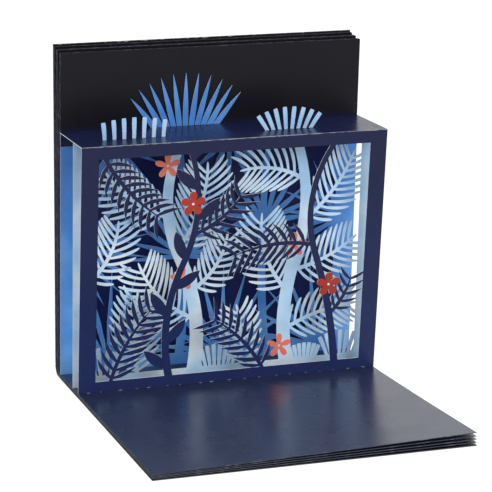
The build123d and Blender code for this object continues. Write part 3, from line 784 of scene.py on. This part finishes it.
class StripCutter:
    """Geometry Nodes that shape a unit prism into every strip of a bed of points."""

    channels: tuple[str, ...] = ("strip_start", "strip_run", "strip_width", "strip_form")
    crowding: float = 1.6
    least_turn: float = 0.00001
    tip_power: float = 2.6

    def __init__(self) -> None:
        """Build the tree once for all the sheets."""
        self.tree, given = new_tree("cut_strips", {
            "Steps": int, "Card": float, "Foot": float, "Floor": float, "Lean": float, "Side limit": float,
            "Low limit": float, "High limit": float, "Tip power": float, "Material": bpy.types.Material})
        tree = self.tree
        unit = add_node(tree, "GeometryNodeMeshCube", {
            "Size": (1, 1, 1), "Vertices X": 2, "Vertices Y": given["Steps"], "Vertices Z": 2})
        placed = add_node(tree, "GeometryNodeInstanceOnPoints", {
            "Points": given["Geometry"], "Instance": unit})
        real = add_node(tree, "GeometryNodeRealizeInstances", (placed,))
        rows = []
        for channel in self.channels:
            named = add_node(tree, "GeometryNodeInputNamedAttribute", {"Name": channel},
                             data_type="FLOAT_VECTOR")
            rows.append(add_node(tree, SEPARATE, (named.outputs["Attribute"],)).outputs)
        start, run, width, form = rows
        where = add_node(tree, SEPARATE, (add_node(tree, "GeometryNodeInputPosition"),)).outputs
        # Steps crowd towards the tip, which is round.
        to_go = add_node(tree, MATH, (0.5, where["Y"]), operation="SUBTRACT")
        left = add_node(tree, MATH, (to_go, self.crowding), operation="POWER")
        share = add_node(tree, MATH, (1.0, left), operation="SUBTRACT")
        # The centre line is an arc, found by its chord.
        turn = add_node(tree, MATH, (run["Y"], share), operation="MULTIPLY")
        half = add_node(tree, MATH, (turn, 0.5), operation="MULTIPLY")
        half = add_node(tree, MATH, (half, self.least_turn), operation="ADD")
        bowed = add_node(tree, MATH, (half,), operation="SINE")
        bowed = add_node(tree, MATH, (bowed, half), operation="DIVIDE")
        chord = add_node(tree, MATH, (run["X"], share), operation="MULTIPLY")
        chord = add_node(tree, MATH, (chord, bowed), operation="MULTIPLY")
        direction = add_node(tree, MATH, (start["Z"], half), operation="ADD")
        heading = add_node(tree, MATH, (start["Z"], turn), operation="ADD")
        # It swells from its root to its belly and tapers from there in a round curve.
        swelling = add_node(tree, MAP_RANGE, (share, 0.0, form["X"], width["X"], width["Y"]))
        past = add_node(tree, MAP_RANGE, (share, form["X"], 1.0, 0.0, 1.0))
        fall = add_node(tree, MATH, (past, given["Tip power"]), operation="POWER")
        fall = add_node(tree, MATH, (1.0, fall), operation="SUBTRACT")
        fall = add_node(tree, MATH, (fall, 0.0), operation="MAXIMUM")
        round_tip = add_node(tree, MATH, (fall,), operation="SQRT")
        tapering = add_node(tree, MAP_RANGE, (round_tip, 0.0, 1.0, width["Z"], width["Y"]))
        before = add_node(tree, MATH, (share, form["X"]), operation="LESS_THAN")
        reach = add_node(tree, MAP_RANGE, (before, 0.0, 1.0, tapering, swelling))
        aside = add_node(tree, MATH, (where["X"], 2.0), operation="MULTIPLY")
        aside = add_node(tree, MATH, (aside, reach), operation="MULTIPLY")
        # Place on the sheet, kept within its edges.
        across_x = add_node(tree, MATH, (heading,), operation="SINE")
        across_h = add_node(tree, MATH, (heading,), operation="COSINE")
        across_h = add_node(tree, MATH, (across_h, -1.0), operation="MULTIPLY")
        least_x = add_node(tree, MATH, (given["Side limit"], -1.0), operation="MULTIPLY")
        kept = []
        for origin, wave, across, most, least in (
                (start["X"], "COSINE", across_x, given["Side limit"], least_x),
                (start["Y"], "SINE", across_h, given["High limit"], given["Low limit"])):
            onward = add_node(tree, MATH, (direction,), operation=wave)
            onward = add_node(tree, MATH, (chord, onward), operation="MULTIPLY")
            onward = add_node(tree, MATH, (origin, onward), operation="ADD")
            beside = add_node(tree, MATH, (aside, across), operation="MULTIPLY")
            place = add_node(tree, MATH, (onward, beside), operation="ADD")
            place = add_node(tree, MATH, (place, most), operation="MINIMUM")
            kept.append(add_node(tree, MATH, (place, least), operation="MAXIMUM"))
        # The sheet leans about its foot, and the card's thickness lies behind its face.
        behind = add_node(tree, MATH, (0.5, where["Z"]), operation="SUBTRACT")
        behind = add_node(tree, MATH, (behind, given["Card"]), operation="MULTIPLY")
        behind = add_node(tree, MATH, (behind, form["Y"]), operation="ADD")
        sine = add_node(tree, MATH, (given["Lean"],), operation="SINE")
        cosine = add_node(tree, MATH, (given["Lean"],), operation="COSINE")
        leant = []
        for origin, up, upward, back in (
                ("Foot", sine, "SUBTRACT", cosine), ("Floor", cosine, "ADD", sine)):
            climb = add_node(tree, MATH, (kept[1], up), operation="MULTIPLY")
            climb = add_node(tree, MATH, (given[origin], climb), operation=upward)
            deep = add_node(tree, MATH, (behind, back), operation="MULTIPLY")
            leant.append(add_node(tree, MATH, (climb, deep), operation="ADD"))
        place = add_node(tree, COMBINE, (kept[0], *leant))
        cut = add_node(tree, "GeometryNodeSetPosition", {"Geometry": real, "Position": place})
        end_tree(tree, given, cut)

    def cut(self, name: str, strips: list[Strip], sheet: Sheet, material: bpy.types.Material,
            steps: int = 15) -> bpy.types.Object:
        """Cut strips out of a sheet.

        Args:
            name: The piece's name.
            strips: The strips.
            sheet: The sheet.
            material: Its finish.
            steps: Points along a strip.

        Returns:
            The piece.
        """
        bed = bpy.data.meshes.new(name)
        bed.vertices.add(len(strips))
        rows = {channel: [] for channel in self.channels}
        for strip in strips:
            rows["strip_start"] += [strip.start[0] * MM, strip.start[1] * MM, radians(strip.heading)]
            rows["strip_run"] += [strip.length * MM, radians(strip.bend), 0.0]
            rows["strip_width"] += [strip.root * MM, strip.belly * MM, strip.end * MM]
            rows["strip_form"] += [strip.belly_share, strip.inset * MM, 0.0]
        for channel, values in rows.items():
            bed.attributes.new(channel, "FLOAT_VECTOR", "POINT").data.foreach_set("vector", values)
        piece = grown(name, self.tree, {
            "Steps": steps, "Card": sheet.card * MM, "Foot": sheet.foot_y * MM, "Floor": PAGE_FOOT,
            "Lean": radians(sheet.lean), "Side limit": sheet.side * MM, "Low limit": sheet.low * MM,
            "High limit": sheet.high * MM, "Tip power": self.tip_power, "Material": material}, bed)
        for channel in self.channels:
            piece.data.attributes.remove(piece.data.attributes[channel])
        return piece


@dataclass(frozen=True)
class FlowerHeads:
    """Five-petalled flower heads of one sheet. Each petal lies a hair in front of the one before."""

    hearts: Hearts
    length: float
    half_width: float
    inset: float
    root: float = 0.8
    belly_share: float = 0.6
    petals: int = 5
    petal_step: float = 0.003
    head_step: float = 0.001
    steps: int = 12

    def strips(self) -> list[Strip]:
        """Lay out the petals of each flower head."""
        return [
            Strip(centre, 90 + petal * 360 / self.petals, self.length, 0, self.root, self.half_width, 0,
                  self.belly_share, self.inset - self.petal_step * petal - self.head_step * number)
            for number, centre in enumerate(self.hearts.centres) for petal in range(self.petals)]


# A spray's x share, height, row length, blade count and spread in degrees.
Spray = tuple[float, float, float, int, float]


@dataclass
class MiddleLayer:
    """The pale sheet: a frame with two trunks, fern fronds and two tufts that pass the top panel."""

    cutter: StripCutter
    width: float = 180.0
    box_height: float = 146.0
    height: float = 145.3
    side_border: float = 8.0
    top_border: float = 6.5
    bottom_border: float = 6.0
    card: float = 0.4
    foot_y: float = 67.0
    foot_tab: float = 7.0
    tab_taper: float = 4.0
    trunk_half_width: float = 4.3
    trunk_taper: float = 0.6
    trunk_inset: float = 0.02
    # Midrib: how much longer than its row of leaflets, half widths at root and belly, and belly share.
    midrib_length: float = 1.06
    midrib: tuple[float, float, float] = (1.25, 0.75, 0.9)
    # Leaflets: pitch, half widths at root and belly, belly share, growth, and the part of a sine that
    # their lengths follow.
    leaflet_pitch: float = 4.1
    leaflet: tuple[float, float, float] = (0.62, 0.94, 0.55)
    leaflet_growth: float = 1.2
    leaflet_swell: Point = (0.20, 0.62)
    # Degrees: turn from the midrib at its root and how much that closes, and curl on either side.
    leaflet_sweep: Point = (70.0, 18.0)
    inner_curl: float = 16.0
    outer_curl: float = 30.0
    leaflet_inset: float = 0.034
    inset_step: float = 0.004
    # Blades of the tufts and sprays: half widths at root, belly and end, and belly share.
    blade: tuple[float, float, float, float] = (0.9, 1.25, 1.05, 0.8)
    blade_bend: float = 16.0
    blade_inset: float = 0.03
    # Arc of the outline that a row of blades makes, in radians.
    blade_arc: float = pi / 3
    tuft_room: float = 20.0
    # How far strips stay inside the sheet's outline and how much thinner they are than its card.
    outline_hair: float = 0.1
    face_hair: float = 0.06
    flowers: FlowerHeads = FlowerHeads(MIDDLE_HEARTS, length=7.6, half_width=1.75, inset=0.004)
    # Foot as shares, heading, and length share and bend of each stretch.
    trunks: tuple[tuple[float, float, float, tuple[Point, ...]], ...] = (
        (-0.100, 0.020, 80, ((0.50, 35), (0.52, -55))),
        (0.220, 0.020, 102, ((0.45, -30), (0.60, 45))),
    )
    # Trunk, share up it, turn, length share, bend and longest leaflet's share.
    branches: tuple[tuple[int, float, float, float, float, float], ...] = (
        (0, 0.22, 62, 0.34, -46, 0.130),
        (0, 0.34, -74, 0.27, 52, 0.100),
        (0, 0.52, -62, 0.36, 40, 0.130),
        (0, 0.66, 66, 0.32, -40, 0.120),
        (1, 0.30, 52, 0.34, -46, 0.130),
        (1, 0.58, -46, 0.34, 30, 0.120),
        (1, 0.14, -62, 0.31, -26, 0.110),
        (1, 0.38, -66, 0.29, 30, 0.110),
        (1, 0.74, 48, 0.27, 46, 0.120),
    )
    # Root as shares, heading, length share, bend and longest leaflet's share.
    frame_fronds: tuple[tuple[float, float, float, float, float, float], ...] = (
        (-0.285, 0.020, 98, 0.34, -14, 0.120),
        (-0.460, 0.420, 36, 0.28, 50, 0.110),
        (0.060, 0.020, 84, 0.26, 20, 0.100),
    )
    tufts: tuple[Spray, ...] = (
        (-0.305, 12.0, 34.0, 7, 0.0),
        (0.205, 13.0, 22.0, 8, 56.0),
    )
    ground_sprays: tuple[Spray, ...] = (
        (-0.400, 17.0, 12.0, 6, 50.0),
        (-0.020, 13.0, 17.0, 8, 34.0),
        (0.280, 9.0, 12.0, 7, 30.0),
        (0.405, 15.0, 14.0, 7, 36.0),
    )

    def sheet(self, high: float | None = None, card: float | None = None) -> Sheet:
        """Give the plane of the layer, with the strips a hair inside the frame's faces and edges."""
        return Sheet(self.foot_y, PAGE_LEAN, (self.width - self.outline_hair) / 2, self.outline_hair,
                     high or self.height - self.outline_hair, card or self.card - self.face_hair)

    def trunk_place(self, number: int, share: float) -> tuple[Point, float]:
        """Find the point and heading at a share of the way up a trunk.

        Args:
            number: Which trunk.
            share: How far up.

        Returns:
            The point and the heading in degrees.
        """
        x_share, y_share, heading, stretches = self.trunks[number]
        point = (x_share * self.width, y_share * self.box_height)
        left = share * sum(length_share for length_share, bend in stretches)
        for length_share, bend in stretches:
            part_way = min(left / length_share, 1)
            point = bow_point(point, heading, length_share * self.box_height, bend, part_way)
            heading += bend * part_way
            left -= length_share * part_way
        return point, heading

    def trunk_strips(self) -> list[Strip]:
        """Lay out the trunks, one strip for each stretch.

        Returns:
            The strips.
        """
        strips = []
        for x_share, y_share, heading, stretches in self.trunks:
            point = (x_share * self.width, y_share * self.box_height)
            near = self.trunk_half_width
            whole = sum(length_share for length_share, bend in stretches)
            narrowing = near * (1 - self.trunk_taper) / whole
            for length_share, bend in stretches:
                far = near - narrowing * length_share
                length = length_share * self.box_height
                strips.append(Strip(point, heading, length, bend, near, far, far, 1.0, self.trunk_inset))
                point = bow_point(point, heading, length, bend, 1)
                heading += bend
                near = far
        return strips

    def frond(self, start: Point, heading: float, length_share: float, bend: float,
              leaflet_share: float) -> list[Strip]:
        """Lay out one frond: a midrib and curved leaflets that close up towards its tip.

        Args:
            start: The frond's root.
            heading: Its first direction in degrees.
            length_share: Its length as a share of the box's height.
            bend: How far it turns, in degrees.
            leaflet_share: Its longest leaflet as a share of the box's height.

        Returns:
            The strips.
        """
        length = length_share * self.box_height
        root, belly, belly_share = self.midrib
        strips = [Strip(start, heading, length * self.midrib_length, bend * self.midrib_length,
                        root, belly, 0, belly_share, self.blade_inset)]
        root, belly, belly_share = self.leaflet
        steps = round(length / self.leaflet_pitch)
        for index in range(steps - 1):
            share = (index + 1) / steps
            point = bow_point(start, heading, length, bend, share)
            along = heading + bend * share
            swell = sin(pi * (self.leaflet_swell[0] + self.leaflet_swell[1] * share))
            size = leaflet_share * self.box_height * self.leaflet_growth * swell
            for side in (-1, 1):
                curl = self.inner_curl if side * bend > 0 else self.outer_curl
                turn = side * (self.leaflet_sweep[0] - self.leaflet_sweep[1] * share)
                strips.append(Strip(point, along + turn, size, -side * curl, root, belly, 0, belly_share,
                                    self.leaflet_inset + self.inset_step * (index % 2)))
        return strips

    def spray_strips(self, sprays: tuple[Spray, ...], foot: float, rise: float) -> list[Strip]:
        """Lay out sprays of blades.

        Args:
            sprays: The sprays.
            foot: Height on the sheet that the blades start from.
            rise: How much longer than its height a spray is, because its foot is hidden.

        Returns:
            The blades.
        """
        strips = []
        for x_share, height, row, count, spread in sprays:
            for index in range(count):
                offset = index / (count - 1) - 0.5
                strips.append(Strip(
                    (x_share * self.width + offset * row, foot), 90 - offset * spread,
                    (rise + height) * cos(offset * self.blade_arc), -offset * self.blade_bend, *self.blade,
                    self.blade_inset))
        return strips

    def frame_mesh(self) -> bpy.types.Mesh:
        """Build the sheet's frame and its foot tab.

        Returns:
            The mesh.
        """
        half = self.width / 2
        inner = half - self.side_border
        sheet = self.sheet()
        work = bmesh.new()
        corners = []
        for side, outer_h, inner_h in (
                (-1, 0, self.bottom_border), (1, 0, self.bottom_border),
                (1, self.height, self.height - self.top_border),
                (-1, self.height, self.height - self.top_border)):
            edges = ((side * half, outer_h), (side * inner, inner_h))
            corners.append([work.verts.new(sheet.point(*place, behind))
                            for behind in (0, self.card) for place in edges])
        for index in range(4):
            here, there = corners[index], corners[(index + 1) % 4]
            for near, far in ((0, 1), (3, 2), (2, 0), (1, 3)):
                work.faces.new((here[near], there[near], there[far], here[far]))
        low = PAGE_FOOT / MM
        deep = self.foot_y + self.foot_tab
        rings = []
        for z in (low, low + self.card):
            rings.append([work.verts.new((x * MM, y * MM, z * MM)) for x, y in (
                (-half, self.foot_y), (half, self.foot_y),
                (half - self.tab_taper, deep), (-half + self.tab_taper, deep))])
        work.faces.new(reversed(rings[0]))
        work.faces.new(rings[1])
        for index in range(4):
            after = (index + 1) % 4
            work.faces.new((rings[0][index], rings[0][after], rings[1][after], rings[1][index]))
        mesh = bpy.data.meshes.new("middle_frame")
        work.to_mesh(mesh)
        work.free()
        return mesh

    def build(self) -> list[bpy.types.Object]:
        """Cut the layer and its flower heads.

        Returns:
            The pieces.
        """
        material = PALE_CARD.material()
        strips = self.trunk_strips()
        for number, share, turn, *form in self.branches:
            point, heading = self.trunk_place(number, share)
            strips += self.frond(point, heading + turn, *form)
        for x_share, y_share, *form in self.frame_fronds:
            strips += self.frond((x_share * self.width, y_share * self.box_height), *form)
        strips += self.spray_strips(self.ground_sprays, self.bottom_border / 2, self.bottom_border / 2)
        layer = self.cutter.cut("pale_foliage", strips, self.sheet(), material)
        hidden = self.height - self.top_border / 2
        blades = self.spray_strips(self.tufts, hidden, self.box_height - hidden)
        tufts = self.cutter.cut("tufts", blades, self.sheet(self.box_height + self.tuft_room), material)
        work = bmesh.new()
        for mesh in (layer.data, tufts.data, self.frame_mesh()):
            work.from_mesh(mesh)
        work.to_mesh(layer.data)
        work.free()
        bpy.data.objects.remove(tufts)
        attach(layer, BOOK)
        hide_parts("middle_layer")
        heads = self.cutter.cut("pale_layer_flowers", self.flowers.strips(), self.sheet(card=self.card),
                                SALMON_CARD.material(), self.flowers.steps)
        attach(heads, BOOK)
        return [layer, heads]


@dataclass
class FrontFlowers:
    """The red flower heads on the cut-out front of the box, over the cut petals of the solid."""

    cutter: StripCutter
    sheet: Sheet = Sheet(foot_y=54.5, lean=FRONT_LEAN, side=90.0, low=0.0, high=146.5, card=0.44)
    flowers: FlowerHeads = FlowerHeads(FRONT_HEARTS, length=7.3, half_width=2.35, inset=-0.01)

    def build(self) -> list[bpy.types.Object]:
        """Cut the flower heads.

        Returns:
            The piece, in a list.
        """
        heads = self.cutter.cut("front_flowers", self.flowers.strips(), self.sheet, RED_CARD.material(),
                                self.flowers.steps)
        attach(heads, BOOK)
        return [heads]


@dataclass
class FoldBurrs:
    """Small burrs of torn card core that the perforated fold at the foot of the box shows."""

    count: int = 19
    pitch: float = 9.4
    first_x: float = -84.6
    fold_y: float = 54.45
    fold_z: float = 2.75
    length: float = 2.2
    height: float = 0.22
    shift: float = 1.6
    least: float = 0.5
    most: float = 1.2
    fibre: float = 0.4
    seed: int = 4

    def tree(self, sizes: dict[str, Any]) -> Tree:
        """Build the tree that sets burrs along the fold.

        Args:
            sizes: The value of each named input.

        Returns:
            The tree.
        """
        tree, given = new_tree("fold_burrs", sizes)
        step = add_node(tree, COMBINE, (given["Pitch"],))
        row = add_node(tree, "GeometryNodeMeshLine", {
            "Count": given["Count"], "Start Location": given["First"], "Offset": step})
        shift = add_node(tree, RANDOM, {
            "Min": (-self.shift * MM, 0, 0), "Max": (self.shift * MM, 0, 0), "Seed": given["Seed"]},
            data_type="FLOAT_VECTOR")
        loose = add_node(tree, "GeometryNodeSetPosition", {"Geometry": row, "Offset": shift})
        burr = add_node(tree, "GeometryNodeMeshUVSphere", {"Segments": 8, "Rings": 5, "Radius": 0.5})
        size = add_node(tree, COMBINE, (given["Length"], given["Height"], given["Height"]))
        chance = add_node(tree, RANDOM, {"Min": self.least, "Max": self.most, "Seed": given["Seed"]},
                          data_type="FLOAT")
        scale = add_node(tree, VECTOR_MATH, {0: size, "Scale": chance.outputs["Value"]}, operation="SCALE")
        placed = add_node(tree, "GeometryNodeInstanceOnPoints", {
            "Points": loose, "Instance": burr, "Scale": scale})
        end_tree(tree, given, placed)
        return tree

    def material(self) -> bpy.types.Material:
        """Build the torn, fibrous card core, which is matt and off-white.

        Returns:
            The material.
        """
        made = blank_material("torn_card_core")
        tree = made.node_tree
        place = add_node(tree, "ShaderNodeTexCoord")
        # Fibre tufts about 0.4 mm apart, some with ink left on them.
        fibre = add_node(tree, NOISE, {
            "Vector": place.outputs["Object"], "Scale": 1 / (self.fibre * MM), "Detail": 2.0})
        colour = add_node(tree, MIX, {
            "Factor": fibre, 6: to_linear("#6E7590"), 7: to_linear("#E4E6EC")}, data_type="RGBA")
        shader = add_node(tree, "ShaderNodeBsdfPrincipled", {
            "Base Color": colour.outputs[2], "Roughness": 0.9, "Specular IOR Level": 0.2})
        add_node(tree, "ShaderNodeOutputMaterial", {"Surface": shader})
        return made

    def build(self) -> list[bpy.types.Object]:
        """Make the burrs.

        Returns:
            The piece, in a list.
        """
        sizes = {
            "Count": self.count, "Pitch": self.pitch * MM,
            "First": (self.first_x * MM, self.fold_y * MM, self.fold_z * MM),
            "Length": self.length * MM, "Height": self.height * MM, "Seed": self.seed,
            "Material": self.material()}
        piece = grown("fold_burrs", self.tree(sizes), sizes)
        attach(piece, BOOK)
        return [piece]


@dataclass
class CutSheets:
    """The carried-over card solids and the finish of each."""

    finishes: tuple[tuple[str, LaminatedCard], ...] = (
        ("scene_box", NAVY_CARD),
        ("rear_layer", BLUE_CARD),
        ("front_cover", COVER_CARD),
        ("cover_spine", SPINE_CARD),
        ("back_cover", LYING_COVER_CARD),
    )

    def build(self) -> list[bpy.types.Object]:
        """Give every carried-over solid its material.

        Returns:
            The solids.
        """
        solids = []
        for node, finish in self.finishes:
            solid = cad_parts[node]
            material = finish.material()
            if not solid.data.materials:
                solid.data.materials.append(material)
            for place in range(len(solid.data.materials)):
                solid.data.materials[place] = material
            solids.append(solid)
        return solids


@dataclass
class Studio:
    """Pale floor, white surroundings, soft lights and the camera."""

    floor_radius: float = 9.0
    floor_paint: str = "#E4E4E4"
    # What the eye sees of the floor: its shaded part and its glow, which add up to white in full light.
    seen_paint: str = "#9A9A9A"
    seen_glow: float = 0.84
    azimuth: float = -18.50
    elevation: float = 13.40
    distance: float = 1.321
    target: tuple[float, float, float] = (0.0023, 0.0300, 0.0878)
    lens: float = 171.95
    ambient: float = 0.6
    # Name, place, width in metres and watts.
    lamps: tuple[tuple[str, tuple[float, float, float], float, float], ...] = (
        ("key", (0.7, -2.0, 1.5), 1.6, 30.0),
        ("fill", (-1.8, -1.2, 1.0), 1.8, 9.0),
        ("top", (0.2, 0.2, 2.4), 1.6, 10.0),
    )

    def seen(self, tree: Tree) -> Node:
        """Add the nodes that are one where the eye looks, straight, in gloss or through glass.

        Args:
            tree: The tree of the floor's material or of the world.

        Returns:
            The node that gives the mask.
        """
        ray = add_node(tree, "ShaderNodeLightPath").outputs
        seen: Any = ray["Is Camera Ray"]
        for other in ("Is Glossy Ray", "Is Transmission Ray"):
            seen = add_node(tree, MATH, (seen, ray[other]), operation="MAXIMUM")
        return seen

    def floor(self) -> None:
        """Make the floor, white to the camera but still shaded by the book."""
        mesh = bpy.data.meshes.new("floor")
        work = bmesh.new()
        bmesh.ops.create_circle(work, cap_ends=True, segments=64, radius=self.floor_radius)
        work.to_mesh(mesh)
        work.free()
        piece = bpy.data.objects.new("floor", mesh)
        bpy.context.scene.collection.objects.link(piece)
        made = blank_material("matt_white_floor")
        tree = made.node_tree
        lit = add_node(tree, "ShaderNodeBsdfDiffuse", {"Color": to_linear(self.floor_paint)})
        shaded = add_node(tree, "ShaderNodeBsdfDiffuse", {"Color": to_linear(self.seen_paint)})
        glow = add_node(tree, "ShaderNodeEmission", {"Color": (1, 1, 1, 1), "Strength": self.seen_glow})
        white = add_node(tree, "ShaderNodeAddShader", (shaded, glow))
        mixed = add_node(tree, "ShaderNodeMixShader", (self.seen(tree), lit, white))
        add_node(tree, "ShaderNodeOutputMaterial", {"Surface": mixed})
        mesh.materials.append(made)

    def surroundings(self) -> None:
        """Set the world, white to the eye and in gloss, and plain light otherwise."""
        world = bpy.data.worlds.new("surroundings")
        bpy.context.scene.world = world
        world.use_nodes = True
        tree = world.node_tree
        tree.nodes.clear()
        soft = add_node(tree, "ShaderNodeBackground", {"Color": (1, 1, 1, 1), "Strength": self.ambient})
        white = add_node(tree, "ShaderNodeBackground", {"Color": (1, 1, 1, 1), "Strength": 1.0})
        mixed = add_node(tree, "ShaderNodeMixShader", (self.seen(tree), soft, white))
        add_node(tree, "ShaderNodeOutputWorld", {"Surface": mixed})

    def light(self) -> None:
        """Hang the soft area lamps, each aimed at the middle of the book."""
        aim = Vector(self.target)
        for name, place, size, power in self.lamps:
            lamp = bpy.data.lights.new(name, "AREA")
            lamp.size = size
            lamp.energy = power
            holder = bpy.data.objects.new(name, lamp)
            holder.location = place
            holder.rotation_euler = (aim - Vector(place)).to_track_quat("-Z", "Y").to_euler()
            bpy.context.scene.collection.objects.link(holder)

    def camera(self) -> None:
        """Set the camera at the photograph's angle."""
        azimuth = radians(self.azimuth)
        elevation = radians(self.elevation)
        back = Vector((sin(azimuth) * cos(elevation), -cos(azimuth) * cos(elevation), sin(elevation)))
        lens = bpy.data.cameras.new("camera")
        lens.lens = self.lens
        lens.clip_start = 0.01
        lens.clip_end = 50.0
        holder = bpy.data.objects.new("camera", lens)
        holder.location = Vector(self.target) + back * self.distance
        holder.rotation_euler = (-back).to_track_quat("-Z", "Y").to_euler()
        bpy.context.scene.collection.objects.link(holder)
        bpy.context.scene.camera = holder

    def build(self) -> None:
        """Set up the whole studio."""
        self.camera()
        self.floor()
        self.surroundings()
        self.light()
        bpy.context.scene.view_settings.view_transform = "Standard"
        LOG.info("studio is set up")


def main() -> None:
    """Set up the studio, then dress the book and report each piece."""
    logging.basicConfig(level=logging.INFO, format="%(name)s: %(message)s")
    Studio().build()
    cutter = StripCutter()
    for assembly in (CutSheets(), LeafBlock(), MiddleLayer(cutter), FrontFlowers(cutter), FoldBurrs()):
        for piece in assembly.build():
            LOG.info("%s has %d faces", piece.name, len(piece.data.polygons))


if __name__ == "__main__":
    main()
